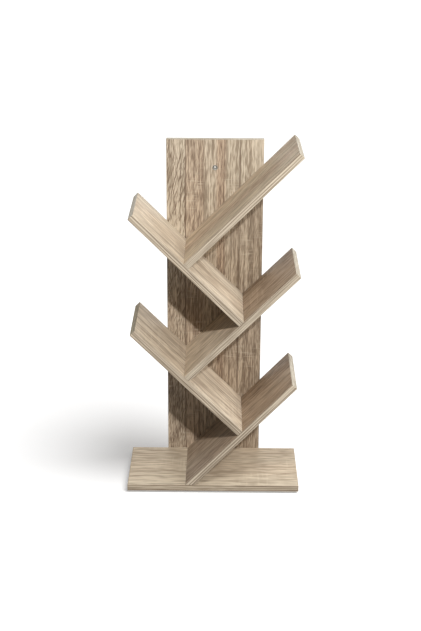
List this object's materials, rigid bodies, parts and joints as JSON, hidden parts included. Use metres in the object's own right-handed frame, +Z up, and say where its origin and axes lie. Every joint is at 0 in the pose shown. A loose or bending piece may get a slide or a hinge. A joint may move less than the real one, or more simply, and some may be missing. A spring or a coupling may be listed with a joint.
{
  "type": "zig-zag bookshelf",
  "caption": "Zig-zag bookshelf: a tall back panel on a base plank carries tilted shelves that stand on each other and hold books in the angles between them.",
  "frame": {"origin": "the middle of the footprint, on the floor under the glides", "axes": "+Z up, the open front of the shelves faces -Y and the back panel's rear face faces +Y, +X to the right as seen from the front"},
  "size_m": [0.4, 0.2152, 0.8085],
  "materials": {
    "panel_face": "matt wood-effect foil on chipboard, grain upright in staves",
    "base_face": "matt wood-effect foil on chipboard, grain along the plank",
    "shelf_face": "matt wood-effect foil on chipboard, fine grain along the shelf",
    "edge_band": "wood-effect edging, fine lines along the edge",
    "zinc_steel": "bright zinc plating",
    "dark_steel": "dark plated steel",
    "dowel_wood": "plain turned beech",
    "glide_plastic": "plain dark plastic"
  },
  "bodies": {
    "root": {"back_panel_board": "panel_face", "back_panel_left_band": "edge_band", "back_panel_right_band": "edge_band", "back_panel_top_band": "edge_band", "base_board": "base_face", "base_front_band": "edge_band", "base_rear_band": "edge_band", "base_left_band": "edge_band", "base_right_band": "edge_band", "base_rear_screw_1": "zinc_steel", "base_rear_screw_2": "zinc_steel", "base_rear_screw_3": "zinc_steel", "shelf_1_board": "shelf_face", "shelf_1_front_band": "edge_band", "shelf_1_rear_band": "edge_band", "shelf_1_end_band": "edge_band", "shelf_1_rear_screw_1": "zinc_steel", "shelf_1_rear_screw_2": "zinc_steel", "shelf_1_foot_screw_1": "zinc_steel", "shelf_1_foot_screw_2": "zinc_steel", "shelf_2_board": "shelf_face", "shelf_2_front_band": "edge_band", "shelf_2_rear_band": "edge_band", "shelf_2_end_band": "edge_band", "shelf_2_rear_screw_1": "zinc_steel", "shelf_2_rear_screw_2": "zinc_steel", "shelf_2_dowel_1": "dowel_wood", "shelf_2_dowel_2": "dowel_wood", "shelf_3_board": "shelf_face", "shelf_3_front_band": "edge_band", "shelf_3_rear_band": "edge_band", "shelf_3_end_band": "edge_band", "shelf_3_rear_screw_1": "zinc_steel", "shelf_3_rear_screw_2": "zinc_steel", "shelf_3_dowel_1": "dowel_wood", "shelf_3_dowel_2": "dowel_wood", "shelf_4_board": "shelf_face", "shelf_4_front_band": "edge_band", "shelf_4_rear_band": "edge_band", "shelf_4_end_band": "edge_band", "shelf_4_rear_screw_1": "zinc_steel", "shelf_4_rear_screw_2": "zinc_steel", "shelf_4_dowel_1": "dowel_wood", "shelf_4_dowel_2": "dowel_wood", "shelf_5_board": "shelf_face", "shelf_5_front_band": "edge_band", "shelf_5_rear_band": "edge_band", "shelf_5_end_band": "edge_band", "shelf_5_rear_screw_1": "zinc_steel", "shelf_5_rear_screw_2": "zinc_steel", "shelf_5_dowel_1": "dowel_wood", "shelf_5_dowel_2": "dowel_wood", "glide_front_left": "glide_plastic", "glide_front_right": "glide_plastic", "glide_rear_left": "glide_plastic", "glide_rear_right": "glide_plastic", "wall_fixing_cup": "dark_steel", "wall_fixing_screw": "zinc_steel"}
  },
  "joints": []
}
